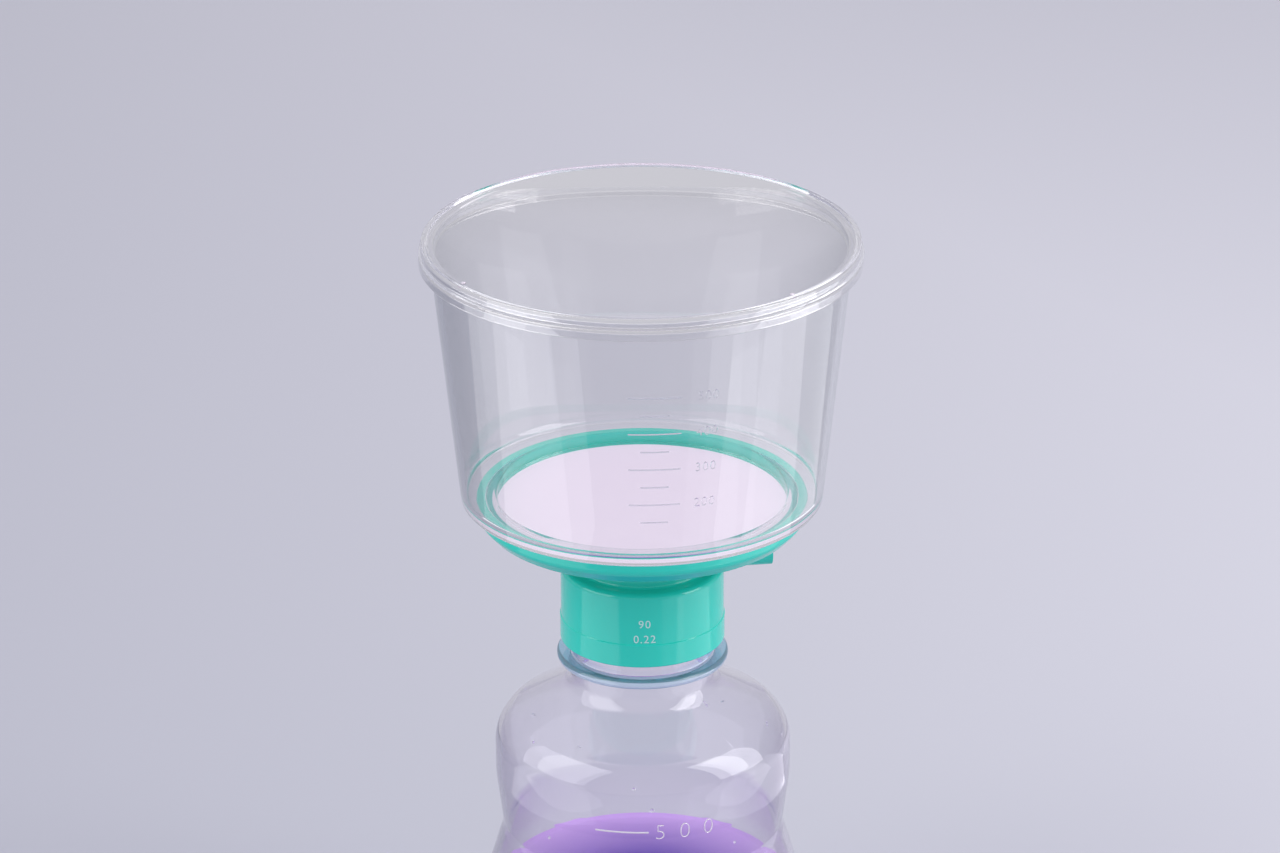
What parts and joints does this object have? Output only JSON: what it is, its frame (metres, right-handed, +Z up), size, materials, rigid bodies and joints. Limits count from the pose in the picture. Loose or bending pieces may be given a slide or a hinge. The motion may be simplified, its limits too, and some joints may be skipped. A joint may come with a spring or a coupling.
{
  "type": "vacuum filtration unit",
  "caption": "Bottle-top vacuum filtration unit: a clear lidded funnel cup on a turquoise membrane base with a hose port, screwed onto a clear receiver bottle holding filtrate.",
  "frame": {"origin": "centre of the foot the bottle stands on", "axes": "+Z up the axis of the unit, -Y towards the side with the graduations, vacuum port towards +X turned 8 degrees to +Y"},
  "size_m": [0.1262, 0.1262, 0.2537],
  "materials": {
    "lid": "clear polished polystyrene",
    "funnel_cup": "clear polished polystyrene",
    "membrane": "fine matt white polymer membrane",
    "filter_base": "opaque turquoise moulding, satin gloss",
    "port_plug": "pressed white fibre",
    "neck_gasket": "soft grey seal",
    "bottle": "clear polished polystyrene",
    "filtrate": "clear violet liquid, still surface"
  },
  "bodies": {
    "bottle": {"bottle": "bottle", "filtrate": "filtrate"},
    "seal": {"neck_gasket": "neck_gasket"},
    "filter_top": {"filter_base": "filter_base", "port_plug": "port_plug", "membrane": "membrane", "funnel_cup": "funnel_cup"},
    "lid": {"lid": "lid"}
  },
  "joints": [
    {"name": "rise", "type": "slide", "parent": "bottle", "child": "seal", "axis": [0, 0, 1], "range_m": [0, 0.00631]},
    {"name": "unscrew", "type": "hinge", "parent": "seal", "child": "filter_top", "pos_m": [0, 0, 0.142], "axis": [0, 0, 1], "range_deg": [0, 540]},
    {"name": "lid_lift", "type": "slide", "parent": "filter_top", "child": "lid", "axis": [0, 0, 1], "range_m": [0, 0.08]}
  ],
  "couplings": [
    {"joint": "rise", "follows": "unscrew", "m_per_rad": 0.00066845}
  ]
}
